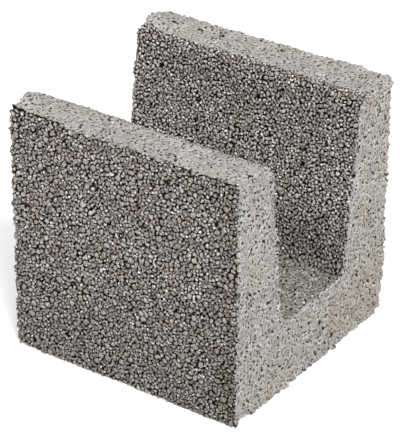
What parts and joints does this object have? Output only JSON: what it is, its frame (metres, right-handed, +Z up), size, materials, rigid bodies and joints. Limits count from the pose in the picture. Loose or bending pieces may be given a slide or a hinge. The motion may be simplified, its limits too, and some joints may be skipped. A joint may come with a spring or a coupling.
{
  "type": "u-shaped concrete block",
  "caption": "U-shaped channel block of light no-fines concrete, open on top, with two tapered legs on a thick floor and rounded inner corners.",
  "frame": {"origin": "middle of the base face, at the height of the surface that the block stands on", "axes": "+X across the block from leg to leg, +Y along the channel, +Z up through the open side"},
  "size_m": [0.24, 0.24, 0.238],
  "materials": {
    "concrete": "rough, open-grained light concrete"
  },
  "bodies": {
    "root": {"u_block": "concrete"}
  },
  "joints": []
}
